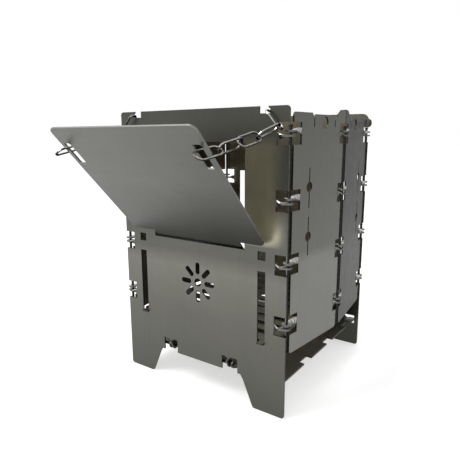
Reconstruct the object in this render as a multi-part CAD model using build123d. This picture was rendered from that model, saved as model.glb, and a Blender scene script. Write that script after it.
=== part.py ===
from build123d import *
import os
from math import atan2, cos, degrees, hypot, radians, sin

# Folding sheet-metal wood stove. Millimetres and degrees, +Z up, the front panel at -Y.
# The origin lies on the ground, in the middle of the footprint of the two panels.

# Overall size
stove_height = 175.0
stove_depth = 120.0
panel_width = 123.0
sheet = 1.0

# Hinges: every eye is a tongue of the sheet, twisted by a quarter turn
hinge_heights = [55.7 + 35.1 * step for step in range(4)]
notch_half_height = 5.8
eye_radius = 2.7
eye_stagger = 1.2
tongue_width = 3.6
tongue_flat = 3.0
twist_steps = 3
rod_radius = 0.9
rod_fit = 0.05
eye_hole_sides = 8
eye_rim_sides = 12
rod_bottom = 40.7
rod_top = 165.4
rod_head_radius = 1.3
rod_head_sides = 12
rod_head_height = 0.8

# Corner hinge axes, and the mid hinge of each bowed side wall
corner_x = 60.7
corner_y = 57.5
mid_x = 67.1
panel_notch_x = 54.1

# Panel cut-outs
arch_height = 19.0
foot_inner_x = 40.6
arch_end_x = 31.6
foot_shoulder = (33.6, 16.0)
foot_corner = 1.8
top_notch = (43.5, 50.0, 171.3)
beak = (49.0, 173.7)
beak_rise = 0.4
front_top_corner = 2.0
rear_top_corner = 5.0
rear_ear_x = (55.0, 63.5)
rear_ear_z = (165.6, 171.4)
rear_ear_corner = 2.4
window_half_width = 34.7
window_bottom = 96.6
window_top = 156.6
slot_x = (43.2, 48.3)
slot_z = (42.3, 85.6)
rear_slot_top = 131.0
square_hole_z = (92.0, 97.2)
plate_hinge_x = (18.0, 29.5)
plate_hinge_top = 27.8
vent_centre_z = 71.0
vent_petals = 8
vent_ring_radius = 9.0
vent_slot = (7.6, 3.2)
vent_hub_radius = 2.6

# Side wall leaves, measured from the corner hinge axis
leaf_bottom = 38.5
leaf_gap = 2.6
leaf_top_gap = 0.35
leaf_root_corner = 10.0
leaf_root_mid = 6.8
leaf_flat_top = 172.0
leaf_saddle_top = 171.3
slit_bottom = 164.6
slit_width = 0.9
slit_a = 22.3
slit_b = 45.2
peak_start = 52.6
peak_drop = 0.4
leaf_corner = 2.0
slit_mouth_a = (1.8, 2.0)
slit_mouth_b = (2.0, 2.6)
saddle_end = (1.6, 0.9)
peg_hole = (33.9, 166.9, 3.4)
keyhole_s = 19.0
keyhole_radius = 2.9
keyholes = [(120.4, 142.7, 132.0), (93.0, 115.3, 104.0)]

# Base plate, its hinge and its rear rests
plate_bottom = 20.1
plate_half_width = 59.2
plate_front_y = -55.4
plate_rear_y = 57.8
plate_root_y = -50.2
plate_hinge_z = 22.6
plate_eye_radius = 2.4
panel_eye_x = 22.3
plate_eye_x = 25.1
plate_rod_half_length = 31.0
plate_notches = [(-29.5, -19.0), (5.0, 14.5), (39.6, 50.1)]
plate_notch_depth = 3.7
plate_rear_notch = (49.8, 54.3, 56.2)
rest_x = (50.5, 58.5)
rest_z = (16.6, 23.0)
rest_width = 5.6
rest_twist = 3.4
rest_side_gap = 0.7
rest_gap = 0.1

# Fire grate
grate_bottom = 42.4
grate_half_width = 50.5
grate_half_depth = 57.0
grate_tab = (43.6, 47.9)
grate_tab_reach = 61.4
grate_rows = 9
grate_pitch = 11.6
grate_slot = (42.0, 5.0)
grate_slot_x = 24.0
grate_slot_chamfer = 1.7
grate_corner = 2.0

# Door, measured up its own front face from its shoulders
door_angle = 43.3
door_shoulder = (-63.0, 101.2)
door_half_width = 50.1
door_length = 86.4
door_corner = 4.0
door_tab_half_width = 32.5
door_tab_length = 9.0
chain_slot_x = (42.5, 47.5)
chain_slot_t = (60.0, 75.5)
chain_slot_corner = 1.2

# Chains: four links from the door and one ring round each top corner of the front panel
wire_radius = 0.6
wire_sides = 8
bend_steps = 6
link_half_length = 8.15
link_half_width = 2.9
ring_half_length = 6.33
ring_half_width = 2.7
link_joints = [
    (56.1, -62.3, 164.6),
    (52.9, -76.0, 159.7),
    (51.45, -89.9, 156.6),
    (49.8, -103.95, 153.8),
    (48.25, -118.1, 151.3),
]
link_rolls = [41.0, -50.0, 62.0, -35.0]
ring_centre = (52.985, -60.66, 168.0)
ring_slope = 48.45

half_width = panel_width / 2
half_depth = stove_depth / 2
panel_y = half_depth - sheet / 2
leaf_length = hypot(mid_x - corner_x, corner_y)
bow_angle = degrees(atan2(mid_x - corner_x, corner_y))


def box_between(x, y):
    """A flat rectangle between two x values and two y values."""
    return Pos((x[0] + x[1]) / 2, (y[0] + y[1]) / 2) * Rectangle(abs(x[1] - x[0]), abs(y[1] - y[0]))


def both_sides(sketch):
    return sketch + mirror(sketch, about=Plane.YZ)


def round_corners(sketch, corners, radius):
    """Rounds the corners of a flat sketch that lie at the given points."""
    picked = [v for v in sketch.vertices() for c in corners if hypot(v.X - c[0], v.Y - c[1]) < 0.05]
    return fillet(picked, radius)


def upright_plane(x, y, heading=0.0):
    """A standing plane: local x runs level along the heading, and local y runs up."""
    along = (cos(radians(heading)), sin(radians(heading)), 0)
    return Plane(origin=(x, y, 0), x_dir=along, z_dir=(along[1], -along[0], 0))


def plate(plane, sketch):
    return extrude(plane * sketch, amount=sheet / 2, both=True)


def triangle(*corners):
    return Face(Wire.make_polygon([Vector(*corner) for corner in corners]))


def twisted_strip(length, width, offset):
    """A strip of the sheet along +x, upright at its root and turned flat at its end."""
    rings = []
    for step in range(twist_steps + 1):
        turn = radians(90 * step / twist_steps)
        x = length * step / twist_steps
        ring = []
        for side, rise in ((-1, -1), (1, -1), (1, 1), (-1, 1)):
            across = side * sheet / 2
            up = rise * width / 2
            ring.append((x, offset + across * cos(turn) - up * sin(turn), across * sin(turn) + up * cos(turn)))
        rings.append(ring)
    faces = [Face(Wire.make_polygon([Vector(*c) for c in ring])) for ring in (rings[0], rings[-1])]
    for near, far in zip(rings, rings[1:]):
        for a, b in ((0, 1), (1, 2), (2, 3), (3, 0)):
            faces.append(triangle(near[a], near[b], far[a]))
            faces.append(triangle(near[b], far[b], far[a]))
    return Solid(Shell(faces))


def eye_tongue(reach, offset, radius=eye_radius):
    """A tongue rooted at -x whose flat eye lies round the z axis at the origin."""
    strip = Pos(-reach, 0, 0) * twisted_strip(reach - tongue_flat, tongue_width, offset)
    end = Pos(-tongue_flat + 0.1, offset) * Rectangle(0.2, tongue_width)
    outline = make_hull([*RegularPolygon(radius, eye_rim_sides).edges(), *end.edges()])
    hole = RegularPolygon(rod_radius + rod_fit, eye_hole_sides, major_radius=False)
    eye = extrude(outline - hole, amount=sheet / 2, both=True)
    return strip + eye


def panel_eyes(y_sign):
    """The eyes on the right edge of a panel, below those of the side wall."""
    eyes = []
    for height in hinge_heights:
        at = Plane(origin=(corner_x, y_sign * corner_y, height - eye_stagger), x_dir=(1, 0, 0), z_dir=(0, 0, 1))
        eyes.append(at * eye_tongue(corner_x - panel_notch_x, y_sign * (panel_y - corner_y)))
    return eyes


def panel_outline(top_edge):
    """Right half of a panel from its middle line, with the given points along its top."""
    points = [(0, arch_height), *top_edge, (half_width, 0), (foot_inner_x, 0), foot_shoulder, (arch_end_x, arch_height)]
    face = make_face(Polyline(*points, close=True))
    face = round_corners(face, [(half_width, 0), (foot_inner_x, 0)], foot_corner)
    for height in hinge_heights:
        face -= box_between((panel_notch_x, half_width + 1), (height - notch_half_height, height + notch_half_height))
    face -= box_between(plate_hinge_x, (arch_height - 1, plate_hinge_top))
    return face


def vent_rosette():
    """A round hub and a ring of rounded slots that point outwards."""
    holes = Circle(vent_hub_radius)
    for petal in range(vent_petals):
        holes += Rot(0, 0, 360 * petal / vent_petals) * Pos(vent_ring_radius, 0) * SlotOverall(*vent_slot)
    return Pos(0, vent_centre_z) * holes


def make_front_panel():
    top_edge = [
        (0, stove_height),
        (top_notch[0], stove_height),
        (top_notch[0], top_notch[2]),
        (top_notch[1], top_notch[2]),
        (top_notch[1], beak[1]),
        (beak[0], beak[1] + beak_rise),
        (beak[0], stove_height),
        (half_width, stove_height),
    ]
    face = panel_outline(top_edge)
    face = round_corners(face, [(half_width, stove_height)], front_top_corner)
    face -= box_between(slot_x, slot_z)
    face -= box_between(slot_x, square_hole_z)
    face = both_sides(face)
    face -= box_between((-window_half_width, window_half_width), (window_bottom, window_top))
    face -= vent_rosette()
    body = plate(upright_plane(0, -panel_y), face)
    eyes = panel_eyes(-1)
    hang = Plane(origin=(panel_eye_x, -corner_y, plate_hinge_z), x_dir=(0, 0, -1), z_dir=(1, 0, 0))
    eyes.append(hang * eye_tongue(plate_hinge_top - plate_hinge_z, corner_y - panel_y, plate_eye_radius))
    for eye in eyes:
        body = body + eye + mirror(eye, about=Plane.YZ)
    return body


def make_rear_panel():
    face = panel_outline([(0, stove_height), (half_width, stove_height)])
    face = round_corners(face, [(half_width, stove_height)], rear_top_corner)
    ear = box_between(rear_ear_x, rear_ear_z)
    face += round_corners(ear, [(rear_ear_x[1], z) for z in rear_ear_z], rear_ear_corner)
    face -= box_between(slot_x, (slot_z[0], rear_slot_top))
    face -= box_between(rest_x, rest_z)
    body = plate(upright_plane(0, panel_y), both_sides(face))
    rest_length = rest_x[1] - rest_x[0] - rest_side_gap
    rest_middle = Pos(rest_x[0], panel_y, plate_bottom - rest_gap - sheet / 2)
    shelf = twisted_strip(rest_twist, rest_width, 0) + extrude(
        box_between((rest_twist, rest_length), (-rest_width / 2, rest_width / 2)), amount=sheet / 2, both=True
    )
    tongues = panel_eyes(1) + [rest_middle * shelf]
    for tongue in tongues:
        body = body + tongue + mirror(tongue, about=Plane.YZ)
    return body


def leaf_face():
    """Outline of a side wall leaf: x from its corner hinge axis, y is the height."""
    mid_edge = leaf_length - leaf_gap
    top_edge = leaf_length - leaf_top_gap
    station_top = hinge_heights[-1] + notch_half_height
    points = [
        (leaf_gap, leaf_bottom),
        (mid_edge, leaf_bottom),
        (mid_edge, station_top),
        (top_edge, station_top),
        (top_edge, stove_height),
        (peak_start, stove_height - peak_drop),
        (slit_b + saddle_end[0], leaf_saddle_top - saddle_end[1]),
        (slit_b + slit_width / 2, leaf_saddle_top - slit_mouth_b[1]),
        (slit_b - slit_width / 2, leaf_saddle_top - slit_mouth_b[1]),
        (slit_b - slit_mouth_b[0], leaf_saddle_top),
        (slit_a + slit_mouth_a[0], leaf_saddle_top),
        (slit_a + slit_width / 2, leaf_saddle_top - slit_mouth_a[1]),
        (slit_a - slit_width / 2, leaf_saddle_top - slit_mouth_a[1]),
        (slit_a - slit_mouth_a[0], leaf_flat_top),
        (leaf_gap, leaf_flat_top),
    ]
    face = make_face(Polyline(*points, close=True))
    rounded = [(leaf_gap, leaf_flat_top), (leaf_gap, leaf_bottom), (mid_edge, leaf_bottom)]
    face = round_corners(face, rounded, leaf_corner)
    for slit in (slit_a, slit_b):
        face -= box_between((slit - slit_width / 2, slit + slit_width / 2), (slit_bottom, leaf_saddle_top))
    face -= Pos(peg_hole[0], peg_hole[1]) * Circle(peg_hole[2])
    for low, high, middle in keyholes:
        face -= box_between((keyhole_s - slit_width / 2, keyhole_s + slit_width / 2), (low, high))
        face -= Pos(keyhole_s, middle) * Circle(keyhole_radius)
    for height in hinge_heights:
        rows = (height - notch_half_height, height + notch_half_height)
        face -= box_between((0, leaf_root_corner), rows)
        face -= box_between((leaf_length - leaf_root_mid, leaf_length), rows)
    return face


def make_leaf(mid_eye_side):
    """The front leaf of the right wall. mid_eye_side is -1 below or +1 above its partner."""
    heading = 90 - bow_angle
    wall = upright_plane(corner_x, -corner_y, heading)
    body = plate(wall, leaf_face())
    along = (cos(radians(heading)), sin(radians(heading)), 0)
    back = (-along[0], -along[1], 0)
    for height in hinge_heights:
        corner = Plane(origin=(corner_x, -corner_y, height + eye_stagger), x_dir=back, z_dir=(0, 0, 1))
        middle = Plane(origin=(mid_x, 0, height + mid_eye_side * eye_stagger), x_dir=along, z_dir=(0, 0, 1))
        body = body + corner * eye_tongue(leaf_root_corner, 0)
        body = body + middle * eye_tongue(leaf_root_mid, 0)
    return body


def make_rod(x, y):
    """A standing hinge rod with a peened head at each end."""
    shaft = Pos(x, y, rod_bottom) * Cylinder(
        rod_radius, rod_top - rod_bottom, align=(Align.CENTER, Align.CENTER, Align.MIN)
    )
    head = extrude(RegularPolygon(rod_head_radius, rod_head_sides), amount=rod_head_height)
    for low in (rod_bottom, rod_top - rod_head_height):
        shaft += Pos(x, y, low) * head
    return shaft


def make_base_plate():
    face = box_between((-plate_half_width, plate_half_width), (plate_front_y, plate_rear_y))
    for near, far in plate_notches:
        face -= both_sides(box_between((plate_half_width - plate_notch_depth, plate_half_width + 1), (near, far)))
    face -= both_sides(box_between(plate_hinge_x, (plate_front_y - 1, plate_root_y)))
    face -= both_sides(box_between(plate_rear_notch[:2], (plate_rear_notch[2], plate_rear_y + 1)))
    body = extrude(Pos(0, 0, plate_bottom) * face, amount=sheet)
    middle_z = plate_bottom + sheet / 2
    forward = Plane(origin=(plate_eye_x, -corner_y, plate_hinge_z), x_dir=(0, -1, 0), z_dir=(1, 0, 0))
    eye = forward * eye_tongue(plate_root_y + corner_y, plate_hinge_z - middle_z, plate_eye_radius)
    return body + eye + mirror(eye, about=Plane.YZ)


def make_fire_grate():
    face = box_between((-grate_half_width, grate_half_width), (-grate_half_depth, grate_half_depth))
    face = fillet(face.vertices(), grate_corner)
    face += both_sides(box_between(grate_tab, (-grate_tab_reach, grate_tab_reach)))
    slot = Rectangle(*grate_slot)
    slot = chamfer(slot.vertices(), grate_slot_chamfer)
    for row in range(grate_rows):
        y = (row - (grate_rows - 1) / 2) * grate_pitch
        face -= both_sides(Pos(grate_slot_x, y) * slot)
    return extrude(Pos(0, 0, grate_bottom) * face, amount=sheet)


def make_door():
    lean = radians(door_angle)
    front = Plane(origin=(0, *door_shoulder), x_dir=(1, 0, 0), z_dir=(0, -cos(lean), -sin(lean)))
    face = box_between((-door_half_width, door_half_width), (0, door_length))
    face = fillet(face.vertices(), door_corner)
    face += box_between((-door_tab_half_width, door_tab_half_width), (-door_tab_length, 1))
    opening = box_between(chain_slot_x, chain_slot_t)
    opening = fillet(opening.vertices(), chain_slot_corner)
    face -= both_sides(opening)
    return extrude(front * face, amount=-sheet)


def wire_loop(half_length, half_width):
    """A closed oval of round wire, long along x and flat in the xy plane, bent in short steps."""
    straight = half_length - half_width
    points = []
    for end in (1, -1):
        for step in range(bend_steps + 1):
            turn = radians(180 * step / bend_steps - 90)
            points.append((end * (straight + half_width * cos(turn)), end * half_width * sin(turn)))
    section = Plane(origin=(0, half_width, 0), x_dir=(0, 1, 0), z_dir=(1, 0, 0))
    return sweep(
        section * RegularPolygon(wire_radius, wire_sides),
        path=Polyline(*points, close=True),
        transition=Transition.RIGHT,
    )


def make_chain():
    """The right chain from the panel: its ring, then four links towards the door."""
    slope = radians(ring_slope)
    ring_plane = Plane(origin=ring_centre, x_dir=(cos(slope), 0, -sin(slope)), z_dir=(sin(slope), 0, cos(slope)))
    pieces = {"chain_ring": ring_plane * wire_loop(ring_half_length, ring_half_width)}
    for number, roll in enumerate(link_rolls, start=1):
        near = Vector(*link_joints[number - 1])
        far = Vector(*link_joints[number])
        along = (far - near).normalized()
        level = Vector(0, 0, 1).cross(along).normalized()
        across = level.rotate(Axis((0, 0, 0), along), roll)
        at = Plane(origin=(near + far) / 2, x_dir=along, z_dir=along.cross(across))
        pieces[f"chain_link_{number}"] = at * wire_loop(link_half_length, link_half_width)
    return pieces


os.makedirs("parts", exist_ok=True)

nodes = {
    "front_panel": make_front_panel(),
    "rear_panel": make_rear_panel(),
    "base_plate": make_base_plate(),
    "fire_grate": make_fire_grate(),
    "door": make_door(),
}
plate_rod = Rot(0, 90, 0) * Cylinder(rod_radius, 2 * plate_rod_half_length)
nodes["base_plate_rod"] = Pos(0, -corner_y, plate_hinge_z) * plate_rod

right_side = {
    "front_wall": make_leaf(-1),
    "rear_wall": mirror(make_leaf(1), about=Plane.XZ),
    "front_rod": make_rod(corner_x, -corner_y),
    "middle_rod": make_rod(mid_x, 0),
    "rear_rod": make_rod(corner_x, corner_y),
}
right_side.update(make_chain())
for name, shape in right_side.items():
    nodes[f"right_{name}"] = shape
    nodes[f"left_{name}"] = mirror(shape, about=Plane.YZ)

for name, shape in nodes.items():
    export_step(shape, f"parts/{name}.step")
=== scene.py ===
import math

import bpy
from mathutils import Matrix, Vector

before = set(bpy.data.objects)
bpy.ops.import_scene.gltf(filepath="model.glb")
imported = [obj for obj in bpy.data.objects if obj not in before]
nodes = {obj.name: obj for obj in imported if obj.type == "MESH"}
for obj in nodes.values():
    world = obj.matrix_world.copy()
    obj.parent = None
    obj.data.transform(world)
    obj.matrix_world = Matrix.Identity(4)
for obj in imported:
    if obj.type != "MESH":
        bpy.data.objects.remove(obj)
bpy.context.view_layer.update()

# Lengths are in metres throughout.

# Camera: the photograph's place, turn in degrees, and field of view
CAMERA_PLACE = (0.1736, -0.2733, 0.1597)
CAMERA_YAW = 34.95
CAMERA_PITCH = 11.46
CAMERA_ROLL = -0.19
CAMERA_LENS = 36.22
SENSOR = 36.0

# Floor and light
FLOOR_SIZE = 12.0
FLOOR_ALBEDO = 0.86
FLOOR_GLOW = 0.50
WORLD_LEVEL = 0.72
BACKGROUND_LEVEL = 1.0
KEY_PLACE = (-0.35, -0.5, 0.9)
KEY_TARGET = (0.0, 0.0, 0.08)
KEY_SIZE = 0.5
KEY_WATTS = 5.0
WHITE = (1.0, 1.0, 1.0, 1.0)

# Directions that the sheets face, point into the stove, or have their grain along
ACROSS_X = (1.0, 0.0, 0.0)
ACROSS_Y = (0.0, 1.0, 0.0)
ACROSS_Z = (0.0, 0.0, 1.0)
REARWARD = (0.0, 1.0, 0.0)
FORWARD = (0.0, -1.0, 0.0)
DOOR_FACE = (0.0, 0.728, 0.686)
GRAIN_SIDEWAYS = (1, 0, 0)
GRAIN_REARWARD = (0, 1, 0)
GRAIN_UPRIGHT = (0, 0, 1)

# Metal colours
# Sheet greys: partly the steel's tint, partly painted reflection of dark surroundings, lit or shaded per
# part
PANEL_TINT_AND_REFLECTION = (0.152, 0.152, 0.133)
WALL_TINT_AND_REFLECTION = (0.135, 0.135, 0.124)
PLATE_TINT_AND_REFLECTION = (0.235, 0.232, 0.205)
DOOR_TINT_AND_REFLECTION = (0.140, 0.141, 0.129)
ROD_COLOUR = (0.80, 0.80, 0.76)
CHAIN_COLOUR = (0.85, 0.84, 0.78)
CUT_COLOUR = (0.050, 0.048, 0.040)
# Inner faces: partly real sooting, partly painted shade inside the box
SOOT_AND_SHADE_COLOUR = (0.190, 0.168, 0.118)
# Painted reflection: the tint of the open door's glow
PAINTED_SHEEN_COLOUR = (0.150, 0.138, 0.098)
# Painted highlights, on the twisted tongues and the door's edges
PAINTED_HIGHLIGHT_COLOUR = (0.90, 0.90, 0.88)

# Roughness, and how much of the glare at flat angles is kept
PANEL_ROUGHNESS = 0.36
PLATE_ROUGHNESS = 0.38
DOOR_ROUGHNESS = 0.34
ROD_ROUGHNESS = 0.24
CHAIN_ROUGHNESS = 0.22
FULL_GLARE = 1.0
# Painted shade: the rear leaves keep less glare, so they look darker than the front leaves
REAR_LEAF_SHADED_GLARE = 0.74
WIRE_GLARE = 0.2

# Painted reflection and shade: how light each outer face is at each height, as (height, level) pairs
PANEL_PAINTED_LIGHT = (
    (0.000, 0.62),
    (0.050, 0.78),
    (0.080, 1.04),
    (0.090, 0.70),
    (0.100, 0.70),
    (0.157, 0.66),
    (0.175, 0.56),
)
REAR_PANEL_PAINTED_LIGHT = ((0.000, 0.40), (0.040, 0.45), (0.080, 0.60), (0.175, 0.60))
FRONT_LEAF_PAINTED_LIGHT = ((0.040, 1.24), (0.090, 1.20), (0.096, 0.82), (0.172, 0.76))
REAR_LEAF_PAINTED_LIGHT = ((0.040, 0.52), (0.090, 0.46), (0.110, 0.25), (0.172, 0.24))
DOOR_PAINTED_LIGHT = ((0.100, 0.40), (0.118, 0.60), (0.135, 0.80), (0.165, 0.85))
NO_PAINTED_LIGHT = ((0.000, 1.00),)

# Painted reflection: the open door's warmly tinted glow, a sheen on the panel's column beside the window,
# across and up, and how light it is
SHEEN_COLUMN = ((0.0335, 0.0), (0.0345, 1.0), (0.0500, 0.9), (0.0580, 0.12), (0.0610, 0.0))
SHEEN_HEIGHT = ((0.0995, 0.0), (0.1070, 1.0), (0.1540, 1.0), (0.1600, 0.0))
SHEEN_LEVELS = ((0.100, 5.6), (0.112, 5.2), (0.130, 3.0), (0.156, 1.6))

# Inner faces, partly real sooting and partly painted shade inside the box: how far inward a face points,
# the height where the sooting starts, and its reach in X
INSIDE_TURN = (0.3, 0.7)
SOOT_AND_SHADE_FOOT = (0.038, 0.042)
SOOT_AND_SHADE_REACH = (0.0640, 0.0620)

# Hinge notches and the twisted tongues in them, which repeat up the sheets
FIRST_HINGE = 0.0557
HINGE_STEP = 0.0351
HINGE_REACH = 0.0057
TONGUE_BLUR = 0.0002
BELOW_HINGES = (0.0457, 0.0467)
PANEL_TONGUES = (("X", 0.0542, 0.070),)
LEAF_TONGUES = (("Y", 0.0478, 0.070), ("Y", -0.001, 0.0067))

# Painted highlights and shade: level against how far a surface turns to the light
TONGUE_LIGHT = (0.25, -0.45, 0.86)
TONGUE_HIGHLIGHT_LEVELS = ((-1.0, 0.03), (0.10, 0.05), (0.45, 0.12), (0.75, 0.34), (0.95, 0.70))
DOOR_EDGE_HIGHLIGHTS = ((-1.0, 0.05), (0.0, 0.10), (0.30, 0.20), (0.70, 0.26))
ROD_LIGHT = (-0.20, -0.98, 0.0)
ROD_HIGHLIGHT_LEVELS = ((-1.0, 0.02), (0.90, 0.03), (0.97, 0.08), (0.99, 0.30))
CHAIN_LIGHT = (0.15, -0.45, 0.88)
CHAIN_HIGHLIGHT_LEVELS = ((-1.0, 0.02), (0.10, 0.05), (0.50, 0.17), (0.85, 0.65))

# Grain of the sheets: repeats per metre along and across it, octaves and roughness of the noise
FINE_GRAIN = (30.0, 5200.0, 2.0, 0.6)
STREAKS = (4.0, 420.0, 3.0, 0.55)

# Other noise: repeats per metre, octaves and roughness
CLOUDS = (22.0, 4.0, 0.55)
RUBBING = (160.0, 5.0, 0.7)
CUT_MARKS = (900.0, 2.0, 0.5)
WIRE_SPOTS = (700.0, 4.0, 0.65)
DRAW_MARKS = (2600.0, 2.0, 0.5)

# The part of a noise that is used, and what it does to a level or a roughness
NOISE_RANGE = (0.3, 0.7)
SPOT_RANGE = (0.35, 0.65)
CLOUD_LEVELS = (0.93, 1.07)
SOOT_AND_SHADE_LEVELS = (0.75, 1.30)
CUT_LEVELS = (0.70, 1.70)
SPOT_LEVELS = (0.80, 1.15)
SHEET_ROUGHNESS_SPREAD = (-0.05, 0.07)
WIRE_ROUGHNESS_SPREAD = (-0.05, 0.10)
CUT_EXTRA_ROUGHNESS = 0.12

# A face turned this far from the sheet's own direction is a cut edge, or part of a twisted tongue
CUT_TURN = (0.85, 0.55)

# Shares of one noise in a mix of two, and the relief that noise gives
STREAK_SHARE = 0.35
FINE_SHARE_OF_POLISH = 0.5
FINE_SHARE_OF_RELIEF = 0.6
SHEET_RELIEF = {"Strength": 0.25, "Distance": 0.00004}
WIRE_RELIEF = {"Strength": 0.2, "Distance": 0.00003}


class Nodes:
    """Adds and links the shader nodes of one tree."""

    def __init__(self, tree):
        self.tree = tree
        self.tree.nodes.clear()

    def add(self, kind, inputs=None, **settings):
        node = self.tree.nodes.new(kind)
        for key, value in settings.items():
            setattr(node, key, value)
        for key, value in (inputs or {}).items():
            socket = node.inputs[key]
            if isinstance(value, bpy.types.NodeSocket):
                self.tree.links.new(value, socket)
            else:
                socket.default_value = value
        return node

    def math(self, operation, a, b=0.0, c=0.0):
        return self.add("ShaderNodeMath", {0: a, 1: b, 2: c}, operation=operation).outputs[0]

    def product(self, first, *others):
        for other in others:
            first = self.math("MULTIPLY", first, other)
        return first

    def ramp(self, value, low, high, out_low=0.0, out_high=1.0):
        """From out_low to out_high while the value goes from low to high, and level beyond."""
        node = self.add(
            "ShaderNodeMapRange",
            {"Value": value, "From Min": low, "From Max": high, "To Min": out_low, "To Max": out_high},
        )
        return node.outputs["Result"]

    def profile(self, value, points):
        """Straight runs through (position, level) points along one value."""
        level = points[0][1]
        for (low, _), (high, after) in zip(points, points[1:]):
            share = self.ramp(value, low, high)
            level = self.add("ShaderNodeMix", {0: share, 2: level, 3: after}, data_type="FLOAT").outputs[0]
        return level

    def band(self, value, low, high, blur):
        """One between two values, falling to nothing over the blur on each side."""
        rise = self.ramp(value, low - blur, low + blur)
        fall = self.ramp(value, high + blur, high - blur)
        return self.product(rise, fall)

    def average(self, a, b, share):
        """Two values averaged, with this share of the first."""
        return self.math("ADD", self.product(a, share), self.product(b, 1.0 - share))

    def mix(self, factor, a, b, blend="MIX"):
        """Two colours mixed, from the first to the second."""
        node = self.add("ShaderNodeMix", data_type="RGBA", blend_type=blend)
        for index, value in ((0, factor), (6, a), (7, b)):
            if isinstance(value, bpy.types.NodeSocket):
                self.tree.links.new(value, node.inputs[index])
            else:
                node.inputs[index].default_value = value if index == 0 else (*value, 1.0)
        return node.outputs[2]

    def tint(self, colour, level):
        """A colour times a grey level that varies."""
        grey = self.add("ShaderNodeCombineColor", {0: level, 1: level, 2: level}).outputs[0]
        return self.mix(1.0, grey, colour, "MULTIPLY")

    def along(self, vector, direction):
        """How far a vector points in a direction."""
        node = self.add("ShaderNodeVectorMath", {0: vector, 1: direction}, operation="DOT_PRODUCT")
        return node.outputs["Value"]

    def object_coords(self):
        return self.add("ShaderNodeTexCoord").outputs["Object"]

    def noise(self, vector, repeats, octaves, roughness):
        node = self.add(
            "ShaderNodeTexNoise",
            {"Vector": vector, "Scale": repeats, "Detail": octaves, "Roughness": roughness},
        )
        return node.outputs["Fac"]

    def grain_noise(self, grain, along, across, octaves, roughness):
        """Noise drawn out along the grain's direction."""
        scale = [along if axis else across for axis in grain]
        stretched = self.add("ShaderNodeMapping", {"Vector": self.object_coords(), "Scale": scale})
        return self.noise(stretched.outputs[0], 1.0, octaves, roughness)

    def relief(self, height, depths):
        return self.add("ShaderNodeBump", {**depths, "Height": height}).outputs["Normal"]

    def metal(self, colour, roughness, bump, glare):
        shader = self.add(
            "ShaderNodeBsdfPrincipled",
            {"Base Color": colour, "Metallic": 1.0, "Roughness": roughness, "Normal": bump},
        )
        shader.inputs["Specular Tint"].default_value = (glare, glare, glare, 1.0)
        self.add("ShaderNodeOutputMaterial", {"Surface": shader.outputs[0]})

    def seen_directly(self):
        """One where the camera, a reflection or glass sees the surface, nothing where it only lights."""
        rays = self.add("ShaderNodeLightPath").outputs
        indirect = self.math("MAXIMUM", rays["Is Glossy Ray"], rays["Is Transmission Ray"])
        return self.math("MAXIMUM", rays["Is Camera Ray"], indirect)


def new_material(name):
    material = bpy.data.materials.new(name)
    material.use_nodes = True
    return material, Nodes(material.node_tree)


def add_painted_sheen(n, surface, place):
    """A painted reflection: the glow that the open door throws on the column beside the window."""
    sheen = n.tint(PAINTED_SHEEN_COLOUR, n.profile(place["Z"], SHEEN_LEVELS))
    reach = n.product(n.profile(place["X"], SHEEN_COLUMN), n.profile(place["Z"], SHEEN_HEIGHT))
    return n.mix(reach, surface, sheen)


def add_soot_and_shade(n, surface, place, normal, inside, tone):
    """The browner inner face of a sheet above the base plate: real sooting with painted shade."""
    soot_and_shade = n.tint(SOOT_AND_SHADE_COLOUR, n.ramp(tone, *NOISE_RANGE, *SOOT_AND_SHADE_LEVELS))
    inner_share = n.product(
        n.ramp(n.along(normal, inside), *INSIDE_TURN),
        n.ramp(place["Z"], *SOOT_AND_SHADE_FOOT),
        n.ramp(n.math("ABSOLUTE", place["X"]), *SOOT_AND_SHADE_REACH),
    )
    return n.mix(inner_share, surface, soot_and_shade)


def hinge_rows(n, place):
    """One at the heights of the hinge notches, nothing between them."""
    from_first = n.math("SUBTRACT", place["Z"], FIRST_HINGE)
    from_row = n.math("WRAP", from_first, HINGE_STEP / 2, -HINGE_STEP / 2)
    near = n.ramp(n.math("ABSOLUTE", from_row), HINGE_REACH, HINGE_REACH - TONGUE_BLUR)
    return n.product(near, n.ramp(place["Z"], *BELOW_HINGES))


def add_tongue_highlights(n, surface, place, rise, tongues):
    """Painted highlights on the twisted tongues. Each is an axis and the distances that it fills."""
    reach = 0.0
    for axis, low, high in tongues:
        stretch = n.band(n.math("ABSOLUTE", place[axis]), low, high, TONGUE_BLUR)
        reach = n.math("MAXIMUM", reach, stretch)
    painted_highlight = n.tint(PAINTED_HIGHLIGHT_COLOUR, n.profile(rise, TONGUE_HIGHLIGHT_LEVELS))
    return n.mix(n.product(reach, hinge_rows(n, place)), surface, painted_highlight)


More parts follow.
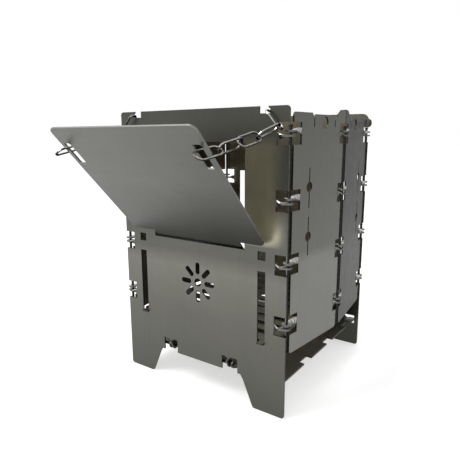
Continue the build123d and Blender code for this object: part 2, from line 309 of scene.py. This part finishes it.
def sheet_steel(
    name,
    face,
    grain,
    colour,
    painted_light,
    roughness=PANEL_ROUGHNESS,
    inside=None,
    tongues=(),
    painted_sheen=False,
    edge_highlight_levels=None,
    glare=FULL_GLARE,
):
    """Rolled stainless sheet: fine grain, cloudy tone and dull cut edges.

    fade says how light the outer face is at each height, as painted reflection and shade.
    inside is the direction into the stove, for a sheet whose inner face is sooted and carries painted
    shade.
    edge_highlight_levels is for a sheet with painted highlights on its edges."""
    material, n = new_material(name)
    coords = n.object_coords()
    place = n.add("ShaderNodeSeparateXYZ", {0: coords}).outputs
    normal = n.add("ShaderNodeNewGeometry").outputs["True Normal"]
    rise = n.along(normal, TONGUE_LIGHT)
    edge = n.ramp(n.math("ABSOLUTE", n.along(normal, face)), *CUT_TURN)
    fine = n.grain_noise(grain, *FINE_GRAIN)
    streaks = n.grain_noise(grain, *STREAKS)
    tone = n.average(streaks, n.noise(coords, *CLOUDS), STREAK_SHARE)

    # Painted reflection and shade by height, times the random cloudy tone
    level = n.product(n.profile(place["Z"], painted_light), n.ramp(tone, *NOISE_RANGE, *CLOUD_LEVELS))
    surface = n.tint(colour, level)
    # Painted reflection: the open door's glow on the window column
    if painted_sheen:
        surface = add_painted_sheen(n, surface, place)
    # Inner faces: partly real sooting, partly painted shade inside the box
    if inside:
        surface = add_soot_and_shade(n, surface, place, normal, inside, tone)
    # Edges: painted highlights where edge_highlight_levels is given, else the dull cut colour
    if edge_highlight_levels:
        cut = n.tint(PAINTED_HIGHLIGHT_COLOUR, n.profile(rise, edge_highlight_levels))
    else:
        cut = n.tint(CUT_COLOUR, n.ramp(n.noise(coords, *CUT_MARKS), *NOISE_RANGE, *CUT_LEVELS))
    surface = n.mix(edge, surface, cut)
    # Painted highlights on the twisted tongues
    if tongues:
        surface = add_tongue_highlights(n, surface, place, rise, tongues)

    polish = n.ramp(n.average(fine, n.noise(coords, *RUBBING), FINE_SHARE_OF_POLISH), *NOISE_RANGE)
    smoothest, roughest = (roughness + spread for spread in SHEET_ROUGHNESS_SPREAD)
    rough = n.ramp(polish, 0.0, 1.0, smoothest, roughest)
    rough = n.math("ADD", rough, n.product(edge, CUT_EXTRA_ROUGHNESS))
    bump = n.relief(n.average(fine, streaks, FINE_SHARE_OF_RELIEF), SHEET_RELIEF)
    n.metal(surface, rough, bump, glare)
    return material


def wire_steel(name, colour, light, levels, roughness):
    """Drawn round wire with faint draw marks, dull spots and a lit side."""
    material, n = new_material(name)
    coords = n.object_coords()
    spots = n.noise(coords, *WIRE_SPOTS)
    # Painted highlight and shade: the wire is lighter where it turns to the given light
    turn = n.along(n.add("ShaderNodeNewGeometry").outputs["Normal"], light)
    level = n.product(n.profile(turn, levels), n.ramp(spots, *SPOT_RANGE, *SPOT_LEVELS))
    smoothest, roughest = (roughness + spread for spread in WIRE_ROUGHNESS_SPREAD)
    rough = n.ramp(spots, *NOISE_RANGE, smoothest, roughest)
    bump = n.relief(n.noise(coords, *DRAW_MARKS), WIRE_RELIEF)
    n.metal(n.tint(colour, level), rough, bump, WIRE_GLARE)
    return material


def dress(material, *names):
    for name in names:
        mesh = nodes[name].data
        mesh.materials.clear()
        mesh.materials.append(material)


def dress_panels():
    front = sheet_steel(
        "front_steel",
        ACROSS_Y,
        GRAIN_UPRIGHT,
        PANEL_TINT_AND_REFLECTION,
        PANEL_PAINTED_LIGHT,
        inside=REARWARD,
        tongues=PANEL_TONGUES,
        painted_sheen=True,
    )
    rear = sheet_steel(
        "rear_steel",
        ACROSS_Y,
        GRAIN_UPRIGHT,
        PANEL_TINT_AND_REFLECTION,
        REAR_PANEL_PAINTED_LIGHT,
        inside=FORWARD,
        tongues=PANEL_TONGUES,
    )
    dress(front, "front_panel")
    dress(rear, "rear_panel")


def dress_walls():
    # Front and rear leaves are lit and shaded copies of one steel, in painted light and shade
    leaves = (("front", FRONT_LEAF_PAINTED_LIGHT, FULL_GLARE), ("rear", REAR_LEAF_PAINTED_LIGHT, REAR_LEAF_SHADED_GLARE))
    for side, inward in (("right", -1.0), ("left", 1.0)):
        for part, painted_light, glare in leaves:
            leaf = sheet_steel(
                f"{side}_{part}_leaf_steel",
                ACROSS_X,
                GRAIN_UPRIGHT,
                WALL_TINT_AND_REFLECTION,
                painted_light,
                inside=(inward, 0.0, 0.0),
                tongues=LEAF_TONGUES,
                glare=glare,
            )
            dress(leaf, f"{side}_{part}_wall")


def dress_plates_and_door():
    plates = sheet_steel("plate_steel", ACROSS_Z, GRAIN_REARWARD, PLATE_TINT_AND_REFLECTION, NO_PAINTED_LIGHT, PLATE_ROUGHNESS)
    door = sheet_steel(
        "door_steel",
        DOOR_FACE,
        GRAIN_SIDEWAYS,
        DOOR_TINT_AND_REFLECTION,
        DOOR_PAINTED_LIGHT,
        DOOR_ROUGHNESS,
        edge_highlight_levels=DOOR_EDGE_HIGHLIGHTS,
    )
    dress(plates, "base_plate", "fire_grate")
    dress(door, "door")


def dress_rods_and_chains():
    rods = wire_steel("rod_steel", ROD_COLOUR, ROD_LIGHT, ROD_HIGHLIGHT_LEVELS, ROD_ROUGHNESS)
    chains = wire_steel("chain_steel", CHAIN_COLOUR, CHAIN_LIGHT, CHAIN_HIGHLIGHT_LEVELS, CHAIN_ROUGHNESS)
    dress(rods, *[name for name in nodes if name.endswith("_rod")])
    dress(chains, *[name for name in nodes if "_chain_" in name])


def shade_flat():
    """Bent and cut sheet has crisp faces."""
    for node in nodes.values():
        for polygon in node.data.polygons:
            polygon.use_smooth = False


def add_camera():
    yaw, pitch, roll = (math.radians(angle) for angle in (CAMERA_YAW, CAMERA_PITCH, CAMERA_ROLL))
    view = Vector(
        (-math.sin(yaw) * math.cos(pitch), math.cos(yaw) * math.cos(pitch), -math.sin(pitch))
    )
    level_right = view.cross(Vector((0, 0, 1))).normalized()
    level_up = level_right.cross(view)
    right = level_right * math.cos(roll) + level_up * math.sin(roll)
    up = level_up * math.cos(roll) - level_right * math.sin(roll)
    turn = Matrix((right, up, -view)).transposed().to_4x4()
    camera = bpy.data.objects.new("camera", bpy.data.cameras.new("camera"))
    camera.matrix_world = Matrix.Translation(CAMERA_PLACE) @ turn
    camera.data.sensor_width = SENSOR
    camera.data.lens = CAMERA_LENS
    bpy.context.scene.collection.objects.link(camera)
    bpy.context.scene.camera = camera


def add_floor():
    """A matte floor that keeps the shadow and shows white."""
    bpy.ops.mesh.primitive_plane_add(size=FLOOR_SIZE, location=(0, 0, 0))
    floor = bpy.context.object
    floor.name = "floor"
    material, n = new_material("floor")
    shade = (FLOOR_ALBEDO, FLOOR_ALBEDO, FLOOR_ALBEDO, 1.0)
    matte = n.add("ShaderNodeBsdfDiffuse", {"Color": shade}).outputs[0]
    strength = n.product(n.seen_directly(), FLOOR_GLOW)
    glow = n.add("ShaderNodeEmission", {"Color": WHITE, "Strength": strength}).outputs[0]
    both = n.add("ShaderNodeAddShader", {0: matte, 1: glow}).outputs[0]
    n.add("ShaderNodeOutputMaterial", {"Surface": both})
    floor.data.materials.append(material)


def add_world():
    """Plain soft light, white where the camera or a reflection sees it."""
    world = bpy.data.worlds.new("studio")
    bpy.context.scene.world = world
    world.use_nodes = True
    n = Nodes(world.node_tree)
    strength = n.ramp(n.seen_directly(), 0.0, 1.0, WORLD_LEVEL, BACKGROUND_LEVEL)
    background = n.add("ShaderNodeBackground", {"Color": WHITE, "Strength": strength}).outputs[0]
    n.add("ShaderNodeOutputWorld", {"Surface": background})


def add_soft_lamp(name, place, target, size, watts):
    lamp = bpy.data.lights.new(name, "AREA")
    lamp.shape = "DISK"
    lamp.size = size
    lamp.energy = watts
    holder = bpy.data.objects.new(name, lamp)
    direction = Vector(target) - Vector(place)
    turn = direction.to_track_quat("-Z", "Y").to_matrix().to_4x4()
    holder.matrix_world = Matrix.Translation(place) @ turn
    bpy.context.scene.collection.objects.link(holder)


dress_panels()
dress_walls()
dress_plates_and_door()
dress_rods_and_chains()
shade_flat()
add_camera()
add_floor()
add_world()
add_soft_lamp("key", KEY_PLACE, KEY_TARGET, KEY_SIZE, KEY_WATTS)
bpy.context.scene.view_settings.view_transform = "Standard"
